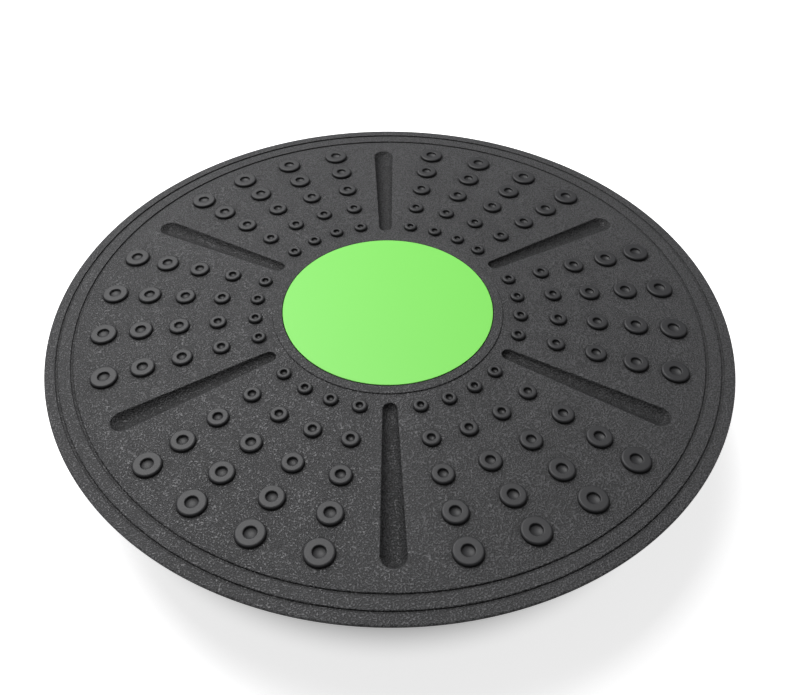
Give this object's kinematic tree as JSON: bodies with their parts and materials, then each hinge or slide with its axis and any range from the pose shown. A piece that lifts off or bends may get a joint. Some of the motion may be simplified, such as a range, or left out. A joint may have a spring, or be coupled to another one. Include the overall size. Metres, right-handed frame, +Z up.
{
  "type": "balance board",
  "caption": "Round wobble board for balance training: a studded and grooved plastic deck on a hollow rocking dome with a non-slip foot.",
  "frame": {"origin": "middle of the foot pad's flat face, on the floor, under the middle of the deck", "axes": "+Z up through the middle of the deck; +Y along one radial groove"},
  "size_m": [0.4, 0.4, 0.075],
  "materials": {
    "deck_plastic": "moulded black polypropylene with a fine leather grain",
    "cap_plastic": "moulded light green plastic, plain satin",
    "dome_plastic": "moulded black polypropylene, fine spark texture",
    "foot_rubber": "matt soft thermoplastic rubber",
    "screw_steel": "zinc plated"
  },
  "bodies": {
    "root": {"deck": "deck_plastic", "centre_cap": "cap_plastic", "dome": "dome_plastic", "foot_pad": "foot_rubber", "screws": "screw_steel", "washers": "screw_steel"}
  },
  "joints": []
}
